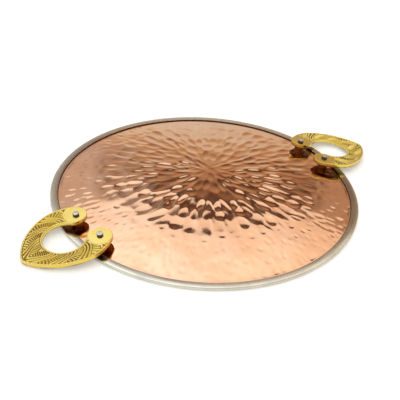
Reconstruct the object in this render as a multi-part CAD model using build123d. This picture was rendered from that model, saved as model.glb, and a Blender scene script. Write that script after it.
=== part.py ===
from build123d import *
import os
from math import asin, atan2, cos, degrees, hypot, radians, sin, sqrt

# A round serving tray: a hammered copper face on a steel back, with two cast brass handles.
# Frame: origin at the centre of the tray's footprint, +X towards the right handle, +Z up.
# Sizes are in millimetres and angles in degrees.

# Tray
tray_radius = 150.0
rim_width = 7.2
steel_thickness = 1.2
copper_thickness = 1.2
dome_rise = 10.0
rim_edge_rounding = 0.9
hem_lip_rounding = 0.4
hem_play = 0.4
sheet_gap = 0.05

# Handle outline, in the handle's own plane: u runs outwards from the rivet line, v along it
bow_radius = 37.2
bow_centre_u = 18.0
shoulder_angle = 75.0
side_radius = 61.0
tip_radius = 9.0
finger_hole_radius = 19.6
finger_hole_u = 25.0
tab_centre_u = 1.0
tab_centre_v = 20.2
neck_rounding = 9.0

# Handle casting
handle_thickness = 4.2
handle_edge_rounding = 0.45
boss_top_radius = 6.0
boss_foot_radius = 5.0
boss_gap = 0.03

# Handle placing: each handle leans down outwards, and was set a little off the tray's diameter
rivet_line_distance = 133.0
tab_top_height = 13.5
tip_ground_gap = 0.25
handle_place_angle = {"left": 183.1, "right": -3.1}
handle_turn = {"left": 2.4, "right": -2.4}

# Rivets, and how far each one was drilled outside its handle's rivet line
rivet_offset_v = 19.0
rivet_drift_u = {"left_front": 0.5, "left_back": 0.5, "right_front": 2.0, "right_back": -1.0}
rivet_head_radius = 2.9
rivet_head_height = 2.1
rivet_head_rounding = 0.35
rivet_shank_radius = 2.0
rivet_hole_radius = 2.05
rivet_tail_radius = 2.7
rivet_tail_height = 0.4
rivet_tail_gap = 0.03

# Sizes that follow from those above
rim_height = 2 * steel_thickness + copper_thickness
face_radius = tray_radius - rim_width
dome_radius = (face_radius**2 + dome_rise**2) / (2 * dome_rise)
copper_edge_radius = tray_radius - steel_thickness - hem_play
tab_radius = bow_radius - hypot(bow_centre_u - tab_centre_u, tab_centre_v)
neck_half_width = tab_centre_v - tab_radius
side_shift = side_radius - bow_radius
side_centre_u = bow_centre_u - side_shift * cos(radians(shoulder_angle))
side_centre_v = -side_shift * sin(radians(shoulder_angle))
tip_centre_u = side_centre_u + sqrt((side_radius - tip_radius) ** 2 - side_centre_v**2)
neck_centre_v = neck_half_width + neck_rounding
neck_centre_u = finger_hole_u - sqrt((finger_hole_radius + neck_rounding) ** 2 - neck_centre_v**2)
bow_length = tip_centre_u + tip_radius
handle_lean = degrees(asin((tab_top_height - handle_thickness - tip_ground_gap) / bow_length))


def dome_height(radius):
    """Height of the dome over its own edge, this far from the tray's middle."""
    return sqrt(dome_radius**2 - radius**2) - dome_radius + dome_rise


def below_dome(edge_height, lift=0.0):
    """All the room under the dome that starts at this height, raised or lowered by the lift."""
    middle = face_radius / 2
    base = edge_height + lift
    floor = base - 2 * tab_top_height
    outline = [
        ThreePointArc((0, base + dome_rise), (middle, base + dome_height(middle)), (face_radius, base)),
        Line((face_radius, base), (face_radius, floor)),
        Line((face_radius, floor), (0, floor)),
        Line((0, floor), (0, base + dome_rise)),
    ]
    return revolve(Plane.XZ * make_face(outline), Axis.Z)


def domed_sheet(lower, thickness, edge_radius, extra_rise=0.0):
    """A sheet of even thickness, domed up to the face's edge and flat from there outwards."""
    middle = face_radius / 2
    rise = dome_rise + extra_rise
    swell = dome_height(middle) * rise / dome_rise
    upper = lower + thickness
    outline = [
        ThreePointArc((0, lower + rise), (middle, lower + swell), (face_radius, lower)),
        Line((face_radius, lower), (edge_radius, lower)),
        Line((edge_radius, lower), (edge_radius, upper)),
        Line((edge_radius, upper), (face_radius, upper)),
        ThreePointArc((face_radius, upper), (middle, upper + swell), (0, upper + rise)),
        Line((0, upper + rise), (0, lower + rise)),
    ]
    return revolve(Plane.XZ * make_face(outline), Axis.Z)


def folded_hem():
    """The steel sheet's edge, folded up and back over the copper's edge: the tray's rim."""
    slot_radius = tray_radius - steel_thickness
    ring = Cylinder(tray_radius, rim_height, align=(Align.CENTER, Align.CENTER, Align.MIN))
    ring -= Cylinder(face_radius, rim_height, align=(Align.CENTER, Align.CENTER, Align.MIN))
    slot = Cylinder(slot_radius, copper_thickness, align=(Align.CENTER, Align.CENTER, Align.MIN))
    ring -= Pos(0, 0, steel_thickness) * slot
    circles = ring.edges().filter_by(GeomType.CIRCLE)
    ring = fillet(circles.filter_by(lambda edge: edge.radius > tray_radius - 0.01), rim_edge_rounding)
    circles = ring.edges().filter_by(GeomType.CIRCLE)
    inner_circles = circles.filter_by(lambda edge: edge.radius < face_radius + 0.01)
    return fillet(inner_circles.sort_by(Axis.Z)[-1], hem_lip_rounding)


def arc(centre_u, centre_v, radius, start, end):
    """An arc about a centre, from one direction to another."""
    angles = [radians(start + (end - start) * share) for share in (0, 0.5, 1)]
    return ThreePointArc(*[(centre_u + radius * cos(a), centre_v + radius * sin(a)) for a in angles])


def handle_outline():
    """A round bow drawn out to a blunt point, open between its tabs, round a keyhole finger gap."""
    tip_end = degrees(atan2(-side_centre_v, tip_centre_u - side_centre_u))
    tab_start = degrees(atan2(tab_centre_v, tab_centre_u - bow_centre_u))
    neck_end = degrees(atan2(-neck_centre_v, finger_hole_u - neck_centre_u))
    half = [
        arc(tip_centre_u, 0, tip_radius, 0, tip_end),
        arc(side_centre_u, side_centre_v, side_radius, tip_end, shoulder_angle),
        arc(bow_centre_u, 0, bow_radius, shoulder_angle, tab_start),
        arc(tab_centre_u, tab_centre_v, tab_radius, tab_start, 270),
        Line((tab_centre_u, neck_half_width), (neck_centre_u, neck_half_width)),
        arc(neck_centre_u, neck_centre_v, neck_rounding, -90, neck_end),
        arc(finger_hole_u, 0, finger_hole_radius, 180 + neck_end, 0),
    ]
    return make_face(half + [mirror(edge, Plane.XZ) for edge in half])


def handle_place(side):
    """Where a handle's own plane lies: its origin is the middle of the rivet line, on the tabs' top."""
    outwards = Rot(0, 0, handle_place_angle[side]) * Pos(rivet_line_distance, 0, tab_top_height)
    return outwards * Rot(0, handle_lean, 0) * Rot(0, 0, handle_turn[side])


def rivet_place(side, end):
    """Where a rivet's axis meets the top of its tab. Front is the -Y end of each rivet line."""
    towards_front = -1 if side == "right" else 1
    offset = rivet_offset_v * towards_front * (1 if end == "front" else -1)
    return handle_place(side) * Pos(rivet_drift_u[f"{side}_{end}"], offset, 0)


def rivet_holes():
    """The clearance holes of all four rivets, as long solid pins to cut with."""
    hole = Cylinder(rivet_hole_radius, 4 * tab_top_height)
    return [rivet_place(side, end) * hole for side in ("left", "right") for end in ("front", "back")]


def copper_plate():
    sheet = domed_sheet(steel_thickness, copper_thickness, copper_edge_radius, sheet_gap)
    return sheet - rivet_holes()


def steel_backing_plate():
    sheet = domed_sheet(0, steel_thickness, face_radius + rim_width / 2)
    return sheet + folded_hem() - rivet_holes()


def handle(side):
    """A cast bow with a boss under each tab, the bosses cut to the copper's curve."""
    bow = extrude(handle_outline(), -handle_thickness)
    bow = fillet(bow.faces().filter_by(Plane.XY).edges(), handle_edge_rounding)
    casting = handle_place(side) * bow
    hanging = (Align.CENTER, Align.CENTER, Align.MAX)
    boss = Cone(boss_foot_radius, boss_top_radius, tab_top_height, align=hanging)
    copper_top = below_dome(steel_thickness + copper_thickness, sheet_gap + boss_gap)
    for end in ("front", "back"):
        casting += rivet_place(side, end) * Pos(0, 0, -handle_thickness / 2) * boss
    return casting - copper_top - rivet_holes()


def rivet(side, end):
    """A flat-headed rivet whose tail is hammered down against the steel's underside."""
    place = rivet_place(side, end)
    head = Cylinder(rivet_head_radius, rivet_head_height, align=(Align.CENTER, Align.CENTER, Align.MIN))
    head = fillet(head.edges().sort_by(Axis.Z)[-1], rivet_head_rounding)
    shank = Cylinder(rivet_shank_radius, 2 * tab_top_height, align=(Align.CENTER, Align.CENTER, Align.MAX))
    tail = place * Cylinder(rivet_tail_radius, 4 * tab_top_height) & below_dome(0, -rivet_tail_gap)
    return place * (head + shank) + tail - below_dome(0, -rivet_tail_gap - rivet_tail_height)


os.makedirs("parts", exist_ok=True)
pieces = {
    "copper_plate": copper_plate(),
    "steel_backing_plate": steel_backing_plate(),
    "left_handle": handle("left"),
    "right_handle": handle("right"),
}
for side in ("left", "right"):
    for end in ("front", "back"):
        pieces[f"{side}_{end}_rivet"] = rivet(side, end)
for name, piece in pieces.items():
    export_step(piece, f"parts/{name}.step")
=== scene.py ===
"""A hammered copper serving tray with two carved brass handles, built around its CAD frame.

Frame: origin at the centre of the tray's footprint, +X towards the right handle, +Z up, in metres.
"""

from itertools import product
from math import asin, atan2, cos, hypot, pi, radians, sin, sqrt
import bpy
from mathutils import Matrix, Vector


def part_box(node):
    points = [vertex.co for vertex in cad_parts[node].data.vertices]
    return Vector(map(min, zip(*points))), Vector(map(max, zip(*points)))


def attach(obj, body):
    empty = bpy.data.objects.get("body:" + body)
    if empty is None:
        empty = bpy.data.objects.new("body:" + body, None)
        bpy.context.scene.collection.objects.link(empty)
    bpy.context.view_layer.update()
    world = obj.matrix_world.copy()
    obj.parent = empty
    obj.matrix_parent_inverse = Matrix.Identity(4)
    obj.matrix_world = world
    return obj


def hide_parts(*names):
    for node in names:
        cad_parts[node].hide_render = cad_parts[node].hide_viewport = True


bl_info = {
    "name": "Hammered Copper Tray",
    "version": (1, 0, 0),
    "blender": (4, 5, 0),
    "location": "3D View > Sidebar > Copper Tray",
    "description": "Makes a hammered copper tray with a steel rim, carved brass handles and rivets",
    "category": "Object",
}

from types import SimpleNamespace

import bmesh
import bpy
import numpy as np
from bpy.props import FloatProperty, FloatVectorProperty, IntProperty, PointerProperty
from mathutils import Matrix, Vector

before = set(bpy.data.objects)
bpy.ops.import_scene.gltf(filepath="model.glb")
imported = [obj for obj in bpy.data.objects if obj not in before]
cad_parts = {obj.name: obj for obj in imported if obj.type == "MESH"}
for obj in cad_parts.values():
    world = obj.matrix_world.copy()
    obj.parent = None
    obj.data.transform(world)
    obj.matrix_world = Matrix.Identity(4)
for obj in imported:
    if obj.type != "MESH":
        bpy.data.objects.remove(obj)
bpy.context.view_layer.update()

MM = 0.001
TRAY_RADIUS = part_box("steel_backing_plate")[1].x
STEEL_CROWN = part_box("steel_backing_plate")[1].z
COPPER_EDGE_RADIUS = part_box("copper_plate")[1].x
COPPER_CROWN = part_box("copper_plate")[1].z
SIDES = ("left", "right")
ENDS = ("front", "back")


# ---------------------------------------------------------------- sizes and colours


def length(name, description, default):
    """A size property in metres."""
    return FloatProperty(name=name, description=description, default=default, unit="LENGTH", precision=5)


def angle(name, description, default):
    """An angle property, given in degrees."""
    return FloatProperty(name=name, description=description, default=radians(default), subtype="ANGLE")


def colour(name, description, default):
    """A linear colour property."""
    return FloatVectorProperty(
        name=name, description=description, default=default, subtype="COLOR", size=3, min=0.0, max=1.0
    )


class TraySizes(bpy.types.PropertyGroup):
    sheet: length("Sheet thickness", "Thickness of the steel and of the copper", 1.2 * MM)
    rim_width: length("Rim width", "Width of the folded steel rim", 7.2 * MM)
    edge_rounding: length("Edge rounding", "Radius of the rim's outer edge", 0.9 * MM)
    lip_rounding: length("Lip rounding", "Radius of the rim's inner edge", 0.4 * MM)


class HammerSizes(bpy.types.PropertyGroup):
    ring_spacing: length("Ring spacing", "Distance between two rings of hammer marks", 15.5 * MM)
    rays: IntProperty(name="Rays", description="Number of rays that the marks stand in", default=48)
    depth: length("Mark depth", "Depth of a full hammer mark", 0.54 * MM)
    centre_x: length("Centre X", "Middle of the rings across the tray", 16.6 * MM)
    centre_y: length("Centre Y", "Middle of the rings along the tray", 15.0 * MM)
    full_from: length("Full from", "Distance from that middle where the marks reach full depth", 26.0 * MM)
    full_to: length("Full to", "Distance from that middle where the marks grow small", 94.0 * MM)
    wave: length("Waves", "Height of the sheet's slow waves", 0.09 * MM)
    seed: IntProperty(name="Seed", description="Seed of the marks' unevenness", default=11)


class HandleSizes(bpy.types.PropertyGroup):
    bow_radius: length("Bow radius", "Radius of the bow's round shoulders", 37.2 * MM)
    bow_centre: length("Bow centre", "Middle of the bow, outwards from the rivet line", 18.0 * MM)
    shoulder: angle("Shoulder", "Where the round bow turns into the straighter side", 75.0)
    side_radius: length("Side radius", "Radius of the sides drawn out to the tip", 61.0 * MM)
    tip_radius: length("Tip radius", "Radius of the blunt tip", 9.0 * MM)
    hole_radius: length("Finger hole radius", "Radius of the finger hole", 19.6 * MM)
    hole_centre: length("Finger hole centre", "Middle of the hole, outwards from the rivet line", 25.0 * MM)
    tab_centre: length("Tab centre", "Middle of a tab, outwards from the rivet line", 1.0 * MM)
    tab_offset: length("Tab offset", "Middle of a tab, along the rivet line", 20.2 * MM)
    neck_rounding: length("Neck rounding", "Radius where the finger hole meets the neck", 9.0 * MM)
    thickness: length("Thickness", "Thickness of the casting", 4.2 * MM)
    edge_rounding: length("Edge rounding", "Radius of the casting's edges", 0.45 * MM)
    line_distance: length("Rivet line", "Distance of the rivet line from the tray's middle", 133.0 * MM)
    top_height: length("Top height", "Height of the tabs' top over the rivet line", 13.5 * MM)
    ground_gap: length("Tip gap", "Gap under the tip", 0.25 * MM)
    set_back: angle("Set off the diameter", "How far each handle sits off the diameter", 3.1)
    set_turn: angle("Turn", "How far each handle is turned in its own plane", 2.4)
    relief: length("Relief depth", "Depth of the carving", 1.1 * MM)
    border: length("Rope border", "Width of the rope borders", 1.7 * MM)
    scroll: length("Ribbon pitch", "Distance between two ribbons of the carving", 20.0 * MM)
    vein: length("Vein pitch", "Distance between two veins of the carving", 2.6 * MM)
    boss_top: length("Boss top", "Radius of a boss under its tab", 6.0 * MM)
    boss_foot: length("Boss foot", "Radius of a boss on the copper", 5.0 * MM)


class RivetSizes(bpy.types.PropertyGroup):
    offset: length("Offset", "Distance of a rivet from the middle of its line", 19.0 * MM)
    head_radius: length("Head radius", "Radius of the head", 2.9 * MM)
    head_height: length("Head height", "Height of the head over the tab", 2.1 * MM)
    head_rounding: length("Head rounding", "Radius of the head's edge", 0.35 * MM)
    shank_radius: length("Shank radius", "Radius of the shank", 2.0 * MM)
    tail_radius: length("Tail radius", "Radius of the hammered tail", 2.7 * MM)
    tail_height: length("Tail height", "Thickness of the hammered tail", 0.4 * MM)
    left_front_drift: length("Left front", "How far outside its line the rivet sits", 0.5 * MM)
    left_back_drift: length("Left back", "How far outside its line the rivet sits", 0.5 * MM)
    right_front_drift: length("Right front", "How far outside its line the rivet sits", 2.0 * MM)
    right_back_drift: length("Right back", "How far outside its line the rivet sits", -1.0 * MM)


class TrayColours(bpy.types.PropertyGroup):
    copper: colour("Copper", "Polished copper", (0.93, 0.56, 0.355))
    copper_pale: colour("Pale copper", "Copper in its paler, pinker patches", (0.95, 0.62, 0.43))
    copper_dark: colour("Dark copper", "Copper darkened in the hammer marks", (0.80, 0.42, 0.24))
    # Tarnish with painted shade: the dark line at the rim, and the dark brass bosses and tab undersides
    tarnish_and_shade: colour("Tarnish", "Tarnish where the copper runs under the rim", (0.16, 0.055, 0.018))
    steel: colour("Steel", "Brushed steel", (0.92, 0.90, 0.80))
    steel_dark: colour("Dark steel", "Steel in its darker brush lines", (0.60, 0.59, 0.51))
    brass: colour("Brass", "Cast brass", (0.76, 0.58, 0.13))
    brass_pale: colour("Pale brass", "Brass polished on the ridges", (0.98, 0.85, 0.40))
    # Patina in the carving's hollows, also used as painted shade on the handles' walls and undersides
    patina_and_shade: colour("Patina", "Brown patina in the brass's hollows", (0.11, 0.07, 0.008))
    rivet: colour("Rivet", "Rivet metal", (0.66, 0.64, 0.60))
    # Grime, also used as painted shade round the rivet heads and to darken the rim's outer edge a little
    grime_and_shade: colour("Grime", "Dirt round the rivets", (0.09, 0.065, 0.04))
    floor: colour("Floor", "Stage floor", (0.93, 0.93, 0.92))


class StageSettings(bpy.types.PropertyGroup):
    azimuth: angle("Azimuth", "Direction of the camera about the tray", -37.56)
    elevation: angle("Elevation", "Height of the camera over the floor", 32.93)
    roll: angle("Roll", "Tilt of the camera", 3.885)
    distance: length("Distance", "Distance of the camera from the rim's middle", 757.2 * MM)
    aim_x: length("Aim X", "Point the camera looks at", -16.1 * MM)
    aim_y: length("Aim Y", "Point the camera looks at", -14.07 * MM)
    lens: FloatProperty(name="Lens", description="Focal length in millimetres", default=69.3)
    floor_size: length("Floor size", "Side of the floor", 60.0)


class CopperTray(bpy.types.PropertyGroup):
    tray: PointerProperty(type=TraySizes)
    hammer: PointerProperty(type=HammerSizes)
    handle: PointerProperty(type=HandleSizes)
    rivet: PointerProperty(type=RivetSizes)
    colours: PointerProperty(type=TrayColours)
    stage: PointerProperty(type=StageSettings)


# ---------------------------------------------------------------- meshes


def smooth_step(value):
    """Nought to one along an S-shaped curve, flat outside that range."""
    value = np.clip(value, 0.0, 1.0)
    return value * value * (3.0 - 2.0 * value)


def between(low, value):
    """From the low number up to one, while the value goes from nought to one."""
    return low + (1.0 - low) * value


def grid_faces(rows, columns):
    """The four corners of each face of a grid of points whose columns close into a ring."""
    row = np.arange(rows - 1)[:, None] * columns
    column = np.arange(columns)[None, :]
    next_row = row + columns
    next_column = (column + 1) % columns
    corners = (row + column, row + next_column, next_row + next_column, next_row + column)
    return np.stack(corners, axis=-1).reshape(-1, 4)


def circles(radii, steps):
    """X and Y of circles about the axis, one row for each radius, and the direction of each step."""
    around = 2 * pi * np.arange(steps) / steps
    return radii[:, None] * np.cos(around), radii[:, None] * np.sin(around), around


def grid_shell(x, y, z):
    """A shell out of rows of points that close into rings: its grid of points, with its faces."""
    return np.stack([x, y, z], axis=-1), grid_faces(*z.shape)


def turn(axis, amount):
    """A 4 x 4 turn about X, Y or Z."""
    return np.array(Matrix.Rotation(amount, 4, axis))


def shift(x, y, z):
    """A 4 x 4 move."""
    return np.array(Matrix.Translation((x, y, z)))


def carry(place, points):
    """Points of a part's own frame, carried into the tray's frame."""
    return points @ place[:3, :3].T + place[:3, 3]


def make_piece(name, shells, marks, crease):
    """One mesh object out of closed shells, each a grid of points with its faces.

    marks gives one value per point for each named attribute, and crease the angle, in degrees,
    past which an edge stays sharp. Points that coincide, as at a pole, are merged, and all faces
    are turned outwards.
    """
    points = np.concatenate([grid.reshape(-1, 3) for grid, _ in shells])
    starts = np.cumsum([0] + [grid.size // 3 for grid, _ in shells])
    faces = np.concatenate([corners + start for (_, corners), start in zip(shells, starts)])
    mesh = bpy.data.meshes.new(name)
    mesh.vertices.add(len(points))
    mesh.vertices.foreach_set("co", points.ravel())
    mesh.loops.add(faces.size)
    mesh.loops.foreach_set("vertex_index", faces.ravel())
    mesh.polygons.add(len(faces))
    mesh.polygons.foreach_set("loop_start", np.arange(0, faces.size, 4))
    mesh.update(calc_edges=True)
    for mark, values in marks.items():
        layer = mesh.attributes.new(mark, "FLOAT", "POINT")
        layer.data.foreach_set("value", np.concatenate([v.ravel() for v in values]).astype(np.float32))
    work = bmesh.new()
    work.from_mesh(mesh)
    bmesh.ops.remove_doubles(work, verts=work.verts, dist=1e-7)
    bmesh.ops.dissolve_degenerate(work, edges=work.edges, dist=1e-8)
    bmesh.ops.recalc_face_normals(work, faces=work.faces)
    work.to_mesh(mesh)
    work.free()
    mesh.shade_smooth()
    mesh.set_sharp_from_angle(angle=radians(crease))
    piece = bpy.data.objects.new(name, mesh)
    bpy.context.scene.collection.objects.link(piece)
    return piece


def settle(piece, node, material):
    """Give a finished piece its material and its body, and hide the CAD node that it stands for."""
    piece.data.materials.append(material)
    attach(piece, "root")
    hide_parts(node)


# ---------------------------------------------------------------- tray geometry


def tray_shape(settings):
    """The radii and heights that follow from the tray's sizes and the frame."""
    tray = settings.tray
    face_radius = TRAY_RADIUS - tray.rim_width
    rise = STEEL_CROWN - tray.sheet
    return SimpleNamespace(
        sheet=tray.sheet,
        face_radius=face_radius,
        rise=rise,
        dome_radius=(face_radius**2 + rise**2) / (2 * rise),
        copper_lift=COPPER_CROWN - STEEL_CROWN - tray.sheet,
        rim_height=3 * tray.sheet,
    )


def dome_height(radius, shape):
    """Height of the dome over its own edge: a sphere's cap, flat outside the face."""
    inside = np.minimum(radius, shape.face_radius)
    return np.sqrt(shape.dome_radius**2 - inside**2) - shape.dome_radius + shape.rise


def reach_dome(starts, axis, level, shape):
    """How far each point moves along the axis to meet the dome whose edge is at this level.

    It is the upper root w of |p + w a - c| = R, with the dome's centre c and radius R.
    """
    centre = np.array([0.0, 0.0, level + shape.rise - shape.dome_radius])
    offset = starts - centre
    along = offset @ axis
    return -along + np.sqrt(along**2 - (offset**2).sum(-1) + shape.dome_radius**2)


def handle_shape(settings):
    """The handle's outline: the centres of its arcs, and the directions of the joints between them.

    Directions are seen from the middle of the finger hole, from the tip round to the tab.
    """
    h = settings.handle
    tab_radius = h.bow_radius - hypot(h.bow_centre - h.tab_centre, h.tab_offset)
    side_shift = h.side_radius - h.bow_radius
    side_u = h.bow_centre - side_shift * cos(h.shoulder)
    side_v = -side_shift * sin(h.shoulder)
    tip_u = side_u + sqrt((h.side_radius - h.tip_radius) ** 2 - side_v**2)
    neck_half = h.tab_offset - tab_radius
    neck_v = neck_half + h.neck_rounding
    neck_u = h.hole_centre - sqrt((h.hole_radius + h.neck_rounding) ** 2 - neck_v**2)
    tip_turn = atan2(-side_v, tip_u - side_u)
    tab_turn = atan2(h.tab_offset, h.tab_centre - h.bow_centre)
    tab_far = hypot(h.hole_centre - h.tab_centre, h.tab_offset)

    def seen(u, v):
        return atan2(v, u - h.hole_centre)

    return SimpleNamespace(
        tip=(tip_u, 0.0, h.tip_radius),
        side=(side_u, side_v, h.side_radius),
        bow=(h.bow_centre, 0.0, h.bow_radius),
        tab=(h.tab_centre, h.tab_offset, tab_radius),
        neck=(neck_u, neck_v, h.neck_rounding),
        neck_half=neck_half,
        hole_centre=h.hole_centre,
        hole_radius=h.hole_radius,
        tip_end=seen(tip_u + h.tip_radius * cos(tip_turn), h.tip_radius * sin(tip_turn)),
        side_end=seen(h.bow_centre + h.bow_radius * cos(h.shoulder), h.bow_radius * sin(h.shoulder)),
        bow_end=seen(h.bow_centre + h.bow_radius * cos(tab_turn), h.bow_radius * sin(tab_turn)),
        hole_end=pi - atan2(neck_v, h.hole_centre - neck_u),
        neck_end=seen(neck_u, neck_half),
        line_end=seen(h.tab_centre, neck_half),
        tab_end=seen(h.tab_centre, h.tab_offset) + asin(tab_radius / tab_far),
        lean=asin((h.top_height - h.thickness - h.ground_gap) / (tip_u + h.tip_radius)),
    )


def handle_place(settings, side):
    """Where a handle's own plane lies: its origin is the middle of the rivet line, on the tabs' top."""
    h = settings.handle
    lean = handle_shape(settings).lean
    right = side == "right"
    around = -h.set_back if right else pi + h.set_back
    twist = -h.set_turn if right else h.set_turn
    outwards = turn("Z", around) @ shift(h.line_distance, 0.0, h.top_height)
    return outwards @ turn("Y", lean) @ turn("Z", twist)


def rivet_place(settings, side, end):
    """Where a rivet's axis meets the top of its tab, with the axis along Z."""
    rivet = settings.rivet
    drift = getattr(rivet, f"{side}_{end}_drift")
    towards_front = -1 if side == "right" else 1
    offset = rivet.offset * towards_front * (1 if end == "front" else -1)
    return handle_place(settings, side) @ shift(drift, offset, 0.0)


def ray_to_circle(direction, circle, from_u, far):
    """Distance from the point (from_u, 0) to a circle in each direction: its near or its far side."""
    u, v, radius = circle
    along = np.cos(direction) * (u - from_u) + np.sin(direction) * v
    inside = np.maximum(along**2 - (u - from_u) ** 2 - v**2 + radius**2, 0.0)
    return along + np.sqrt(inside) * (1 if far else -1)


def handle_edges(direction, form):
    """Distances of the handle's inner and outer edge from the finger hole's middle, in each direction."""
    start = form.hole_centre
    inner = np.select(
        [direction < form.hole_end, direction < form.neck_end, direction < form.line_end],
        [
            np.full_like(direction, form.hole_radius),
            ray_to_circle(direction, form.neck, start, far=False),
            form.neck_half / np.sin(np.maximum(direction, 0.1)),
        ],
        ray_to_circle(direction, form.tab, start, far=False),
    )
    outer = np.select(
        [direction < form.tip_end, direction < form.side_end, direction < form.bow_end],
        [
            ray_to_circle(direction, form.tip, start, far=True),
            ray_to_circle(direction, form.side, start, far=True),
            ray_to_circle(direction, form.bow, start, far=True),
        ],
        ray_to_circle(direction, form.tab, start, far=True),
    )
    return inner, np.maximum(outer, inner)


# ---------------------------------------------------------------- hammered copper

# Each pass's marks against the hammer's settings, and how far they wander, in steps
HAMMER_PASSES = (
    SimpleNamespace(stretch=1.0, rays=1.0, strength=1.0, jitter=0.26),
    SimpleNamespace(stretch=1.2, rays=1.5, strength=0.55, jitter=0.45),
)
# Shares of the ray spacing where the marks grow small, and of a mark's depth
CLOSEST_MARKS = 0.62
MARK_BLENDING = 0.13
# Lowest and highest share of the full depth and of the ring and ray spacings
MARK_DEPTHS = (0.6, 1.3)
MARK_LENGTHS = (0.50, 0.88)
MARK_WIDTHS = (0.44, 0.66)
WAVE_COUNT = 9
WAVE_PITCHES = (22.0 * MM, 55.0 * MM)
# How far down the handle's height a boss meets the copper
FOOT_SHARE = 0.75


def hammer_pass(radius, around, hammer, random, reach, blows):
    """Sum of exp(-bowl / softness) over one pass of oval marks that stand in rings, long side outwards.

    Each mark is a bowl: depth x (along^2 / l^2 + across^2 / w^2 - 1). The rings share their rays,
    whose number halves towards the middle and doubles beyond the fully hammered part. Marks are
    shallower round the middle, and small and shallow beyond that part.
    """
    softness = MARK_BLENDING * hammer.depth
    ring_spacing = hammer.ring_spacing * blows.stretch
    rays = int(blows.rays * hammer.rays)
    nearest = CLOSEST_MARKS * 2 * pi * hammer.full_to / rays
    strength = blows.strength * hammer.depth
    total = np.zeros_like(radius)
    for ring in range(int(reach / ring_spacing) + 2):
        ring_radius = ring_spacing * ring
        count = 2 * rays if ring_radius > hammer.full_to + hammer.ring_spacing else rays
        while count > 6 and 2 * pi * ring_radius / count < nearest:
            count //= 2
        count = count if ring else 1
        step = 2 * pi / count
        mark_spacing = max(2 * pi * ring_radius / count, nearest)
        wander = random.uniform(-blows.jitter, blows.jitter, count)
        out = ring_radius + random.uniform(-blows.jitter, blows.jitter, count) * ring_spacing * (ring > 0)
        fade = 1.0 - smooth_step((out - hammer.full_to) / hammer.ring_spacing)
        inner = smooth_step(out / hammer.full_from)
        depth = strength * random.uniform(*MARK_DEPTHS, count) * between(0.36, fade) * between(0.3, inner)
        long_half = ring_spacing * random.uniform(*MARK_LENGTHS, count) * between(0.34, fade)
        wide_half = mark_spacing * random.uniform(*MARK_WIDTHS, count) * between(0.45, fade)
        slant = random.normal(0.0, 0.5 * blows.jitter, count)
        place = around / step
        for neighbour in (-1, 0, 1, 2):
            index = np.floor(place).astype(int) + neighbour
            mark = index % count
            away = around - (index + wander[mark]) * step
            along = radius * np.cos(away) - out[mark]
            across = radius * np.sin(away)
            turned = along * np.cos(slant[mark]) + across * np.sin(slant[mark])
            across = across * np.cos(slant[mark]) - along * np.sin(slant[mark])
            bowl = (turned / long_half[mark]) ** 2 + (across / wide_half[mark]) ** 2 - 1.0
            total += np.exp(-np.minimum(bowl * depth[mark] / softness, 50.0))
    return total


def hammer_depth(x, y, settings, shape):
    """Depth of the hammered surface under the smooth dome, as whole arrays.

    Two passes of marks, the second a little longer, finer, lighter and less regular. Where marks
    meet, the lower one wins, softly: minus the softness times the logarithm of the summed
    exp(-bowl / softness), with the flat between marks as one more level. A few slow sine waves
    run across it all, and their highest point stays at the dome.
    """
    hammer = settings.hammer
    random = np.random.default_rng(hammer.seed)
    x = x - hammer.centre_x
    y = y - hammer.centre_y
    radius = np.hypot(x, y)
    around = np.arctan2(y, x)
    reach = shape.face_radius + hypot(hammer.centre_x, hammer.centre_y)
    total = np.ones_like(x)
    for blows in HAMMER_PASSES:
        total += hammer_pass(radius, around, hammer, random, reach, blows)
    marks = -MARK_BLENDING * hammer.depth * np.log(total)
    waves = np.zeros_like(x)
    for _ in range(WAVE_COUNT):
        heading = random.uniform(0, 2 * pi)
        pitch = random.uniform(*WAVE_PITCHES)
        run = x * np.cos(heading) + y * np.sin(heading)
        waves += np.sin(2 * pi * run / pitch + random.uniform(0, 2 * pi))
    return marks + hammer.wave * (waves - waves.max()) / sqrt(WAVE_COUNT)


def clear_of_bosses(x, y, settings):
    """Nought where a boss stands on the copper, one well away from all four.

    A boss's foot lies on its rivet's axis.
    """
    clear = np.ones_like(x)
    h = settings.handle
    for side, end in product(SIDES, ENDS):
        place = rivet_place(settings, side, end)
        foot_x, foot_y = place[:2, 3] - place[:2, 2] * h.top_height * FOOT_SHARE
        away = np.hypot(x - foot_x, y - foot_y)
        clear = clear * smooth_step((away - h.boss_foot) / h.boss_foot)
    return clear


class COPPER_OT_plate(bpy.types.Operator):
    """The copper plate: a dome on a polar grid, lowered by its hammer marks, flat under the rim"""

    bl_idname = "copper_tray.plate"
    bl_label = "Hammered copper plate"

    face_rings = 134
    around = 640
    under_rings = 6
    play = 0.02 * MM
    edge_fade = 4 * MM

    def execute(self, context):
        settings = context.scene.copper_tray
        shape = tray_shape(settings)
        top = shape.face_radius * np.linspace(0.0, 1.0, self.face_rings)
        under = shape.face_radius * np.linspace(1.0, 0.0, self.under_rings)
        radii = np.concatenate([top, [COPPER_EDGE_RADIUS] * 2, under])
        x, y, _ = circles(radii, self.around)
        base = dome_height(radii, shape) + shape.sheet
        base[: self.face_rings + 1] += shape.sheet + shape.copper_lift - self.play
        base[self.face_rings + 1 :] += self.play
        base[self.face_rings - 1 : self.face_rings + 1] -= shape.copper_lift
        face = slice(0, self.face_rings)
        fade = smooth_step((shape.face_radius - radii[face, None]) / self.edge_fade)
        depth = hammer_depth(x[face], y[face], settings, shape) * fade
        depth = depth * clear_of_bosses(x[face], y[face], settings)
        z = np.repeat(base[:, None], self.around, axis=1)
        z[face] += depth
        sunk = np.zeros_like(z)
        sunk[face] = np.clip(-depth / settings.hammer.depth, 0.0, 1.0)
        piece = make_piece("copper_face", [grid_shell(x, y, z)], {"sunk": [sunk]}, crease=60.0)
        settle(piece, "copper_plate", copper_material(settings.colours, shape))
        return {"FINISHED"}


# ---------------------------------------------------------------- steel back and rim


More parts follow.
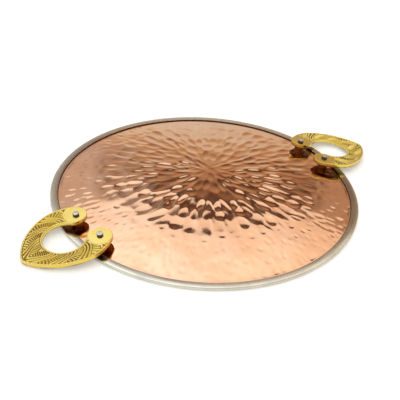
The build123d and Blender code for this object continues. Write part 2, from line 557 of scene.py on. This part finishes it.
def corner(radius, height, rounding, start, end):
    """Points of a rounded corner about a centre, from one direction to another, in degrees."""
    directions = np.radians(np.linspace(start, end, 5))
    out = radius + rounding * np.cos(directions)
    up = height + rounding * np.sin(directions)
    return np.stack([out, up], axis=1)


class COPPER_OT_steel(bpy.types.Operator):
    """The steel back with its folded rim: one closed profile carried round the tray's axis"""

    bl_idname = "copper_tray.steel"
    bl_label = "Steel back and rim"

    around = 480
    dome_steps = 40

    def execute(self, context):
        settings = context.scene.copper_tray
        tray = settings.tray
        shape = tray_shape(settings)
        outer = tray.edge_rounding
        lip = tray.lip_rounding
        slot_radius = TRAY_RADIUS - tray.sheet
        slot_top = 2 * tray.sheet
        out = shape.face_radius * np.linspace(0.0, 1.0, self.dome_steps)
        back = out[::-1]
        profile = np.concatenate(
            [
                np.stack([out, dome_height(out, shape)], axis=1),
                corner(TRAY_RADIUS - outer, outer, outer, -90, 0),
                corner(TRAY_RADIUS - outer, shape.rim_height - outer, outer, 0, 90),
                corner(shape.face_radius + lip, shape.rim_height - lip, lip, 90, 180),
                [[shape.face_radius, slot_top], [slot_radius, slot_top], [slot_radius, tray.sheet]],
                np.stack([back, dome_height(back, shape) + tray.sheet], axis=1),
            ]
        )
        x, y, _ = circles(profile[:, 0], self.around)
        z = np.repeat(profile[:, 1:], self.around, axis=1)
        piece = make_piece("steel_back", [grid_shell(x, y, z)], {}, crease=35.0)
        settle(piece, "steel_backing_plate", steel_material(settings.colours, shape))
        return {"FINISHED"}


# ---------------------------------------------------------------- brass handles

# The carving: shares of the ribbon pitch, strands in a ribbon, and shares of the relief
RIBBON_SHARE = 0.6
SWEEP_SHARE = 0.40
STRANDS = 3
ROPE_PITCH = 2.6 * MM
TAB_HEIGHT = 0.80
RIDGE_HEIGHT = 0.95
# How strongly the band's steps crowd together at its ends
CROWDING = 8
WAIST = 0.35 * MM


def wave(turns):
    """A cosine of this many turns, raised to run from nought to one."""
    return 0.5 + 0.5 * np.cos(2 * pi * turns)


def carving(along, across, half_width, tab_distance, tab_radius, sizes):
    """Height of the carving, nought in its hollows and one on its ridges, as whole arrays.

    Ribbons of beaded strands sweep across the band in S-curves: the strands are a cosine of
    (along + sweep x sin(pi / 2 x across / half width)) / pitch, and the beads one of
    (along - across). Between the ribbons lie curved veins, a cosine of (across - slant x bent
    along). Rope borders run along both edges, and a round plain field stays free on each tab,
    with a ridge about it: exp(-distance^2).
    """
    to_edge = np.maximum(half_width - np.abs(across), 0.0)
    across_share = np.clip(across / np.maximum(half_width, 0.5 * MM), -1.0, 1.0)
    sweep = along + SWEEP_SHARE * sizes.scroll * np.sin(0.5 * pi * across_share)
    from_ribbon = (sweep / sizes.scroll) % 1.0 - 0.5
    in_ribbon = smooth_step((0.5 * RIBBON_SHARE - np.abs(from_ribbon)) / 0.02)
    strands = wave(STRANDS / RIBBON_SHARE * from_ribbon)
    beads = between(0.64, wave((along - across) / (0.9 * sizes.vein)))
    bent = along - 1.6 * sizes.vein * np.cos(0.5 * pi * across_share)
    veins = wave((across - 0.9 * bent) / sizes.vein)
    height = in_ribbon * strands**0.7 * beads + (1 - in_ribbon) * 0.85 * veins**0.8
    inside = smooth_step((to_edge - sizes.border) / (0.35 * MM))
    twist = wave(along / ROPE_PITCH + 0.6 * to_edge / sizes.border)
    round_rope = np.sin(pi * np.clip(to_edge / sizes.border, 0.0, 1.0)) ** 0.4
    height = inside * height + (1 - inside) * round_rope * between(0.80, twist)
    past_tab = tab_distance - 1.01 * tab_radius
    carved = smooth_step(past_tab / (0.8 * MM))
    ridge = np.exp(-(((past_tab - 0.1 * MM) / (0.5 * MM)) ** 2))
    return np.maximum(carved * height + (1 - carved) * TAB_HEIGHT, RIDGE_HEIGHT * ridge)


def handle_shell(settings, place):
    """The casting: a band round the finger hole, from one tab's end to the other's.

    The first parameter is the direction from the hole's middle, closer spaced at the ends:
    (1 + 1 / n) run - run^(n + 1) / n. The second runs round the band's cross section: over the
    carved top, down the outer wall, under the bottom and up the inner wall.
    """
    along_steps, across_steps, under_steps = 620, 96, 7
    h = settings.handle
    form = handle_shape(settings)
    run = np.linspace(-1.0, 1.0, along_steps + 1)
    held_back = np.sign(run) * np.abs(run) ** (CROWDING + 1) / CROWDING
    direction = form.tab_end * ((1 + 1 / CROWDING) * run - held_back)
    inner, outer = handle_edges(np.abs(direction), form)
    middle = 0.5 * (inner + outer)
    path = np.stack([middle * np.cos(direction), middle * np.sin(direction)], axis=1)
    travelled = np.concatenate([[0.0], np.cumsum(np.hypot(*np.diff(path, axis=0).T))])
    along = np.abs(travelled - travelled[along_steps // 2])
    width = outer - inner
    rounding = np.minimum(h.edge_rounding, 0.3 * width)
    slope = np.clip(np.gradient(middle, travelled), -1.5, 1.5)
    squareness = 1.0 / np.sqrt(1.0 + slope**2)

    def flat_rows(shares):
        """Distances of rows on the band's flat part, at these shares of its width."""
        return inner + rounding + (width - 2 * rounding) * shares[:, None]

    top_radius = flat_rows(np.linspace(0.0, 1.0, across_steps))
    u = form.hole_centre + top_radius * np.cos(direction)
    v = top_radius * np.sin(direction)
    tab_distance = np.hypot(u - h.tab_centre, np.abs(v) - h.tab_offset)
    half_width = 0.5 * width * squareness
    across = (top_radius - middle) * squareness
    tab_radius = form.tab[2]
    height = carving(along[None, :], across, half_width, tab_distance, tab_radius, h)
    top_z = -h.relief * (1.0 - height) * np.minimum(1.0, width / (3 * MM))

    bends = np.radians(np.linspace(22.5, 90.0, 4))[:, None]
    round_out = outer - rounding + rounding * np.sin(bends)
    round_in = inner + outer - round_out
    round_z = -rounding * (1.0 - np.cos(bends))
    wall_z = np.array([0.35, 0.65])[:, None] * -h.thickness + np.zeros_like(width)
    radius = np.concatenate(
        [
            top_radius,
            round_out,
            [outer, outer],
            round_out[::-1],
            flat_rows(np.linspace(1.0, 0.0, under_steps)),
            round_in,
            [inner, inner],
            round_in[::-1],
        ]
    )
    z = np.concatenate(
        [
            top_z,
            top_z[-1:] + round_z,
            wall_z,
            -h.thickness - round_z[::-1],
            np.full((under_steps, len(width)), -h.thickness),
            -h.thickness - round_z,
            wall_z[::-1],
            top_z[:1] + round_z[::-1],
        ]
    )
    # Painted shade: the walls darken towards the underside, which is darkest under the tabs
    near_tab = 1.0 - smooth_step((tab_distance[across_steps // 2] - tab_radius) / tab_radius)
    hollow_and_shade = 0.30 + (0.45 + 0.25 * near_tab) * smooth_step(-2 * z / h.thickness - 0.8)
    hollow_and_shade[:across_steps] = 1.0 - height
    u = form.hole_centre + radius * np.cos(direction)
    v = radius * np.sin(direction)
    points, faces = grid_shell(u.T, v.T, z.T)
    return carry(place, points), faces, hollow_and_shade.T


def boss_shell(settings, place, shape):
    """A boss: a waisted round foot about its rivet's axis, its sole cut to the copper's curve.

    The parameters are the direction round the axis and the share of the way down. The waist is
    half a sine of that share.
    """
    h = settings.handle
    share_down = np.linspace(0.0, 1.0, 15)
    radii = h.boss_top + (h.boss_foot - h.boss_top) * share_down - WAIST * np.sin(pi * share_down)
    x, y, _ = circles(np.concatenate([[0.0], radii, [0.0]]), 64)
    share_down = np.concatenate([[0.0], share_down, [1.0]])[:, None]
    flat = carry(place, np.stack([x, y, np.zeros_like(x)], axis=-1))
    sole = reach_dome(flat, place[:3, 2], 2 * shape.sheet + shape.copper_lift, shape)
    top = -0.5 * h.thickness
    points, faces = grid_shell(x, y, top + (sole - top) * share_down)
    # The bosses take the full value: painted shade under the tabs
    return carry(place, points), faces, np.ones_like(x)


class COPPER_OT_handles(bpy.types.Operator):
    """Both brass handles: a carved band carried round the finger hole, on two bosses"""

    bl_idname = "copper_tray.handles"
    bl_label = "Brass handles"

    def execute(self, context):
        settings = context.scene.copper_tray
        shape = tray_shape(settings)
        material = brass_material(settings.colours)
        for side in SIDES:
            parts = [handle_shell(settings, handle_place(settings, side))]
            parts += [boss_shell(settings, rivet_place(settings, side, end), shape) for end in ENDS]
            shells = [(points, faces) for points, faces, _ in parts]
            # Patina in the carving's hollows, and painted shade on the walls, underside and bosses
            hollow_and_shade_values = [hollow_and_shade for _, _, hollow_and_shade in parts]
            piece = make_piece(f"brass_handle_{side}", shells, {"hollow_and_shade": hollow_and_shade_values}, crease=50.0)
            settle(piece, f"{side}_handle", material)
        return {"FINISHED"}


# ---------------------------------------------------------------- rivets


class COPPER_OT_rivets(bpy.types.Operator):
    """Four rivets: a flat hammered head, a shank and a tail that follows the steel's underside"""

    bl_idname = "copper_tray.rivets"
    bl_label = "Rivets"

    around = 64
    flats_depth = 0.10 * MM
    crown_drop = 0.12 * MM

    def execute(self, context):
        settings = context.scene.copper_tray
        shape = tray_shape(settings)
        material = rivet_material(settings.colours)
        random = np.random.default_rng(settings.hammer.seed)
        for side, end in product(SIDES, ENDS):
            place = rivet_place(settings, side, end)
            # Each rivet's dirt and painted shade round its head
            shell, dirt_and_shade = self.rivet_shell(settings.rivet, place, shape, random.uniform(0, 2 * pi))
            piece = make_piece(f"rivet_{side}_{end}", [shell], {"dirt_and_shade": [dirt_and_shade]}, crease=50.0)
            settle(piece, f"{side}_{end}_rivet", material)
        return {"FINISHED"}

    def rivet_shell(self, rivet, place, shape, phase):
        """A profile of radii and heights carried round the rivet's axis.

        The head's top is a low crown, falling with the square of the distance, minus a few
        hammer flats: that square times a cosine of three times the direction. The rows at the
        shank's end and round the tail lie at a depth under the dome.
        """
        edge = rivet.head_rounding
        shank = rivet.shank_radius
        tail = rivet.tail_radius
        bend = np.radians(np.linspace(0, 90, 5))
        crown = (rivet.head_radius - edge) * np.linspace(0.0, 1.0, 7)[:-1]
        head_radii = np.concatenate([crown, rivet.head_radius - edge + edge * np.sin(bend)])
        head_z = rivet.head_height - np.concatenate([np.zeros_like(crown), edge * (1 - np.cos(bend))])
        collar = [rivet.head_radius, shank]
        radii = np.concatenate([head_radii, collar, [shank, tail, tail, 0.9 * tail, 0.0]])
        drops = rivet.tail_height * np.array([0.075, 0.075, 0.625, 1.0, 1.0])
        x, y, around = circles(radii, self.around)
        flat = carry(place, np.stack([x, y, np.zeros_like(x)], axis=-1))
        under = reach_dome(flat, place[:3, 2], 0.0, shape)
        heads = len(head_z)
        below = heads + len(collar)
        square = (head_radii[:, None] / rivet.head_radius) ** 2
        flats = self.flats_depth * square * (1.0 + np.cos(3 * around + phase))
        z = np.zeros_like(x)
        z[:heads] = head_z[:, None] - flats - self.crown_drop * square
        z[below:] = under[below:] - drops[:, None]
        # Dirt and painted shade on the head's edge and round its foot on the tab
        dirt_and_shade = np.zeros_like(z)
        dirt_and_shade[heads - 2 : below + 2] = 1.0
        points, faces = grid_shell(x, y, z)
        return (carry(place, points), faces), dirt_and_shade


# ---------------------------------------------------------------- materials


class Nodes:
    """Short ways to add and join the nodes of a material or of the world."""

    def __init__(self, owner, shader, output):
        owner.use_nodes = True
        self.owner = owner
        self.tree = owner.node_tree
        self.tree.nodes.clear()
        self.shader = self.add(shader)
        self.join(self.shader.outputs[0], self.add(output).inputs["Surface"])

    def add(self, kind, **settings):
        node = self.tree.nodes.new(kind)
        for setting, value in settings.items():
            setattr(node, setting, value)
        return node

    def join(self, source, target):
        if hasattr(source, "links"):
            self.tree.links.new(source, target)
        else:
            target.default_value = source

    def attribute(self, name):
        return self.add("ShaderNodeAttribute", attribute_name=name).outputs["Fac"]

    def fill(self, node, **sockets):
        """Give a node's inputs a value or join them to an output, by their names."""
        for name, value in sockets.items():
            self.join(value, node.inputs[name.replace("_", " ").title()])

    def place(self):
        return self.add("ShaderNodeTexCoord").outputs["Object"]

    def noise(self, scale, detail, roughness, vector=None, distortion=0.0):
        """Cloudy noise between nought and one, over the object's own coordinates or a vector."""
        node = self.add("ShaderNodeTexNoise")
        self.fill(node, Vector=vector or self.place(), Scale=scale)
        self.fill(node, Detail=detail, Roughness=roughness, Distortion=distortion)
        return node.outputs["Fac"]

    def math(self, operation, first, second=0.0):
        node = self.add("ShaderNodeMath", operation=operation)
        self.join(first, node.inputs[0])
        self.join(second, node.inputs[1])
        return node.outputs[0]

    def plus(self, first, second):
        return self.math("ADD", first, second)

    def times(self, first, second):
        return self.math("MULTIPLY", first, second)

    def spread(self, value, low, high, to_low=0.0, to_high=1.0):
        """Map a range of a value onto another range, clamped, along an S-shaped curve."""
        node = self.add("ShaderNodeMapRange", interpolation_type="SMOOTHSTEP")
        for socket, given in zip(node.inputs, (value, low, high, to_low, to_high)):
            self.join(given, socket)
        return node.outputs[0]

    def blend(self, amount, first, second, way="MIX"):
        """Mix two colours."""
        node = self.add("ShaderNodeMix", data_type="RGBA", blend_type=way)
        self.join(amount, node.inputs[0])
        for socket, value in ((node.inputs[6], first), (node.inputs[7], second)):
            self.join(value if hasattr(value, "links") else (*value, 1.0), socket)
        return node.outputs[2]

    def radius(self):
        """Distance from the tray's axis."""
        parts = self.add("ShaderNodeSeparateXYZ")
        self.join(self.place(), parts.inputs[0])
        squares = [self.math("POWER", part, 2) for part in parts.outputs[:2]]
        return self.math("SQRT", self.plus(*squares))

    def bump(self, height, strength, distance):
        node = self.add("ShaderNodeBump")
        self.fill(node, Height=height, Strength=strength, Distance=distance)
        self.fill(self.shader, Normal=node.outputs["Normal"])

    def ramp(self, value, levels):
        """A ramp of colours over a value between nought and one."""
        node = self.add("ShaderNodeValToRGB")
        stops = node.color_ramp.elements
        while len(stops) < len(levels):
            stops.new(1.0)
        for stop, (position, shade) in zip(stops, levels):
            stop.position = position
            stop.color = (*shade, 1.0)
        self.join(value, node.inputs[0])
        return node.outputs["Color"]

    def finish(self, **sockets):
        self.fill(self.shader, **sockets)
        return self.owner


def surface(name):
    """The nodes of a new material round one Principled shader."""
    return Nodes(bpy.data.materials.new(name), "ShaderNodeBsdfPrincipled", "ShaderNodeOutputMaterial")


def copper_material(colours, shape):
    """Polished copper: mottled, browner in the hammer marks, darkened along the rim with tarnish and
    painted shade.
    """
    nodes = surface("polished_copper")
    patches = nodes.spread(nodes.noise(28.0, 4.0, 0.55, distortion=0.6), 0.38, 0.64)
    base = nodes.blend(patches, colours.copper, colours.copper_pale)
    marks = nodes.times(nodes.attribute("sunk"), 0.35)
    base = nodes.blend(marks, base, colours.copper_dark)
    radius = nodes.radius()
    # Tarnish and painted shade: a thin dark line where the copper runs under the rim
    edge = nodes.spread(radius, shape.face_radius - 1.1 * MM, shape.face_radius - 0.3 * MM)
    base = nodes.blend(edge, base, colours.tarnish_and_shade)
    cloud = nodes.noise(90.0, 5.0, 0.6)
    rough = nodes.spread(cloud, 0.3, 0.75, 0.05, 0.13)
    rough = nodes.plus(rough, nodes.times(edge, 0.4))
    nodes.bump(nodes.noise(420.0, 3.0, 0.5), 0.12, 0.12 * MM)
    return nodes.finish(Base_Color=base, Roughness=rough, Metallic=1.0)


def steel_material(colours, shape):
    """Steel brushed round and round: fine rings in its colour and bump, and a stretched gloss.

    Tarnish and painted shade lie on the rim's inner edge only, and the outer edge is darkened a little.
    """
    nodes = surface("brushed_steel")
    radius = nodes.radius()
    rings = nodes.add("ShaderNodeCombineXYZ")
    nodes.join(radius, rings.inputs[0])
    lines = nodes.noise(2600.0, 4.0, 0.7, vector=rings.outputs[0])
    wide = nodes.noise(700.0, 3.0, 0.6, vector=rings.outputs[0])
    stains = nodes.noise(35.0, 4.0, 0.6)
    dark = nodes.plus(nodes.times(lines, 0.45), nodes.times(wide, 0.35))
    dark = nodes.plus(dark, nodes.times(stains, 0.35))
    base = nodes.blend(nodes.spread(dark, 0.40, 0.78), colours.steel, colours.steel_dark)
    # Tarnish and painted shade on the rim's inner lip, where it meets the copper
    lip = nodes.spread(radius, shape.face_radius + 0.5 * MM, shape.face_radius + 0.1 * MM)
    lip = nodes.times(lip, nodes.spread(radius, shape.face_radius - 0.5 * MM, shape.face_radius))
    base = nodes.blend(lip, base, colours.tarnish_and_shade)
    # The rim's outer edge is darkened a little with the grime colour
    outside = nodes.spread(radius, TRAY_RADIUS - 0.5 * MM, TRAY_RADIUS - 0.1 * MM, 0.0, 0.25)
    base = nodes.blend(outside, base, colours.grime_and_shade)
    rough = nodes.spread(stains, 0.3, 0.7, 0.15, 0.22)
    nodes.bump(lines, 0.2, 0.02 * MM)
    tangent = nodes.add("ShaderNodeTangent", direction_type="RADIAL", axis="Z")
    nodes.fill(nodes.shader, Anisotropic=0.9, Anisotropic_Rotation=0.25, Tangent=tangent.outputs[0])
    return nodes.finish(Base_Color=base, Roughness=rough, Metallic=1.0)


def brass_material(colours):
    """Cast brass: pale on the ridges, brown patina in the hollows, painted shade on the walls, underside
    and bosses, slightly pitted.
    """
    nodes = surface("cast_brass")
    hollow_and_shade = nodes.attribute("hollow_and_shade")
    worn = nodes.spread(hollow_and_shade, 0.30, 0.02)
    patches = nodes.noise(60.0, 4.0, 0.6)
    pale = nodes.times(worn, nodes.spread(patches, 0.3, 0.6))
    base = nodes.blend(pale, colours.brass, colours.brass_pale)
    # Brown patina in the carving's hollows, and painted shade on the walls, underside and bosses
    patina_and_shade_level = nodes.plus(hollow_and_shade, nodes.times(nodes.plus(patches, -0.5), 0.8))
    dirt_and_shade = nodes.spread(patina_and_shade_level, 0.42, 0.95, 0.0, 0.85)
    base = nodes.blend(dirt_and_shade, base, colours.patina_and_shade)
    # Painted shade: red-brown on the bosses and under the tabs
    base = nodes.blend(nodes.spread(hollow_and_shade, 0.95, 1.0), base, colours.tarnish_and_shade)
    rough = nodes.spread(hollow_and_shade, 0.1, 0.9, 0.14, 0.34)
    nodes.bump(nodes.noise(700.0, 3.0, 0.6), 0.45, 0.12 * MM)
    return nodes.finish(Base_Color=base, Roughness=rough, Metallic=1.0)


def rivet_material(colours):
    """Rivet metal: grey, scuffed by the hammer, with dirt and painted shade round the head's edge and foot.
    """
    nodes = surface("rivet_metal")
    scuffs = nodes.noise(700.0, 4.0, 0.65)
    # Dirt and painted shade round the head's edge and foot
    dirt_and_shade = nodes.times(nodes.attribute("dirt_and_shade"), nodes.spread(scuffs, 0.2, 0.6, 0.5, 1.0))
    base = nodes.blend(nodes.spread(scuffs, 0.45, 0.8, 0.0, 0.5), colours.rivet, colours.grime_and_shade)
    base = nodes.blend(dirt_and_shade, base, colours.grime_and_shade)
    rough = nodes.spread(scuffs, 0.3, 0.7, 0.28, 0.48)
    nodes.bump(scuffs, 0.3, 0.06 * MM)
    return nodes.finish(Base_Color=base, Roughness=rough, Metallic=1.0)


def floor_material(colours):
    """A plain matt floor, lit a little from within so that it stays pale."""
    nodes = surface("stage_floor")
    nodes.shader.inputs["Emission Color"].default_value = (0.88, 0.94, 1.0, 1.0)
    nodes.shader.inputs["Emission Strength"].default_value = 0.32
    nodes.shader.inputs["Specular IOR Level"].default_value = 0.0
    return nodes.finish(Base_Color=(*colours.floor, 1.0), Roughness=1.0)


# ---------------------------------------------------------------- stage

# The ceiling's drop and its limit are sines of a height; the lights' heights are in degrees
CEILING_DROP = 0.22
CEILING_LOWEST = 0.085
TINT_RISE = 4.0
LIGHT_BY_HEIGHT = (
    (0.0, (0.50, 0.50, 0.50)),
    (12.0, (0.34, 0.35, 0.35)),
    (18.0, (0.39, 0.38, 0.34)),
    (24.0, (0.30, 0.235, 0.16)),
    (31.0, (0.225, 0.15, 0.10)),
    (33.5, (0.17, 0.105, 0.068)),
    (38.0, (0.06, 0.033, 0.021)),
    (41.5, (0.045, 0.025, 0.015)),
    (42.3, (0.53, 0.52, 0.51)),
    (50.0, (0.58, 0.58, 0.57)),
    (60.0, (0.72, 0.72, 0.72)),
    (90.0, (0.60, 0.60, 0.60)),
)
GLOW_BY_SIDE = (
    (0.36, (0.31, 0.27, 0.245)),
    (0.475, (0.0, 0.0, 0.0)),
    (0.585, (0.0, 0.0, 0.0)),
    (0.64, (0.27, 0.21, 0.165)),
)
TINT_BY_SIDE = ((0.40, (1.0, 1.0, 1.0)), (0.50, (0.98, 0.96, 0.94)), (0.62, (0.88, 0.77, 0.67)))


def studio_light(azimuth):
    """Soft studio light: a bright ceiling over a dark gap, a dim warm wall and a pale horizon.

    The colour is a ramp over the sine of the height. The ceiling comes lower between the four
    quarters of the room: eight times x squared y squared over (x squared + y squared) squared
    is added to the height, times the drop and up to a limit. A dim glow fills the gap at the
    sides, and the right side is warmer and darker, except at the horizon.
    """
    world = bpy.data.worlds.new("studio")
    bpy.context.scene.world = world
    nodes = Nodes(world, "ShaderNodeBackground", "ShaderNodeOutputWorld")
    where = nodes.add("ShaderNodeTexCoord").outputs["Generated"]

    def towards(direction):
        node = nodes.add("ShaderNodeVectorMath", operation="DOT_PRODUCT")
        nodes.join(where, node.inputs[0])
        nodes.join(direction, node.inputs[1])
        return node.outputs["Value"]

    right = towards((cos(azimuth), sin(azimuth), 0.0))
    away = towards((-sin(azimuth), cos(azimuth), 0.0))
    up = towards((0.0, 0.0, 1.0))
    level = nodes.plus(nodes.times(right, right), nodes.times(away, away))
    diagonal = nodes.math("DIVIDE", nodes.times(right, away), nodes.plus(level, 0.001))
    lower = nodes.times(nodes.times(diagonal, diagonal), 8 * CEILING_DROP)
    height = nodes.plus(up, nodes.math("MINIMUM", lower, CEILING_LOWEST))
    walls = nodes.ramp(height, [(sin(radians(lift)), shade) for lift, shade in LIGHT_BY_HEIGHT])
    side = nodes.plus(nodes.times(right, 0.5), 0.5)
    light = nodes.blend(1.0, walls, nodes.ramp(side, GLOW_BY_SIDE), way="LIGHTEN")
    tint = nodes.ramp(side, TINT_BY_SIDE)
    light = nodes.blend(nodes.times(up, TINT_RISE), light, tint, way="MULTIPLY")
    nodes.finish(Color=light, Strength=2.0)


class COPPER_OT_stage(bpy.types.Operator):
    """A plain pale floor, soft studio light and the camera"""

    bl_idname = "copper_tray.stage"
    bl_label = "Stage"

    def execute(self, context):
        settings = context.scene.copper_tray
        stage = settings.stage
        half = 0.5 * stage.floor_size
        corners = [(-half, -half), (half, -half), (half, half), (-half, half)]
        mesh = bpy.data.meshes.new("floor")
        mesh.from_pydata([(x, y, -0.1 * MM) for x, y in corners], [], [(0, 1, 2, 3)])
        mesh.materials.append(floor_material(settings.colours))
        floor = bpy.data.objects.new("floor", mesh)
        context.scene.collection.objects.link(floor)
        studio_light(stage.azimuth)
        self.add_camera(context, stage, tray_shape(settings).rim_height)
        context.scene.view_settings.view_transform = "Standard"
        return {"FINISHED"}

    def add_camera(self, context, stage, rim_height):
        """A camera on a sphere about the rim's middle, looking at its aim and rolled a little."""
        level = cos(stage.elevation)
        back = Vector((sin(stage.azimuth) * level, -cos(stage.azimuth) * level, sin(stage.elevation)))
        spot = Vector((0.0, 0.0, rim_height)) + back * stage.distance
        towards = Vector((stage.aim_x, stage.aim_y, rim_height)) - spot
        data = bpy.data.cameras.new("camera")
        data.lens = stage.lens
        camera = bpy.data.objects.new("camera", data)
        aim = towards.to_track_quat("-Z", "Y").to_matrix().to_4x4()
        camera.matrix_world = Matrix.Translation(spot) @ aim @ Matrix.Rotation(stage.roll, 4, "Z")
        context.scene.collection.objects.link(camera)
        context.scene.camera = camera


# ---------------------------------------------------------------- add-on


class COPPER_PT_panel(bpy.types.Panel):
    """The tray's steps, in the order in which they are made"""

    bl_idname = "COPPER_PT_panel"
    bl_label = "Copper Tray"
    bl_space_type = "VIEW_3D"
    bl_region_type = "UI"
    bl_category = "Copper Tray"

    def draw(self, context):
        for operator in OPERATORS:
            self.layout.operator(operator.bl_idname)
        settings = context.scene.copper_tray
        for part in CopperTray.__annotations__:
            group = getattr(settings, part)
            box = self.layout.box()
            for name in group.__annotations__:
                box.prop(group, name)


GROUPS = (TraySizes, HammerSizes, HandleSizes, RivetSizes, TrayColours, StageSettings, CopperTray)
OPERATORS = (COPPER_OT_steel, COPPER_OT_plate, COPPER_OT_handles, COPPER_OT_rivets, COPPER_OT_stage)
CLASSES = GROUPS + OPERATORS + (COPPER_PT_panel,)


def register():
    for each in CLASSES:
        bpy.utils.register_class(each)
    bpy.types.Scene.copper_tray = PointerProperty(type=CopperTray)


def unregister():
    del bpy.types.Scene.copper_tray
    for each in reversed(CLASSES):
        bpy.utils.unregister_class(each)


def main():
    register()
    bpy.ops.copper_tray.steel()
    bpy.ops.copper_tray.plate()
    bpy.ops.copper_tray.handles()
    bpy.ops.copper_tray.rivets()
    bpy.ops.copper_tray.stage()


if __name__ == "__main__":
    main()
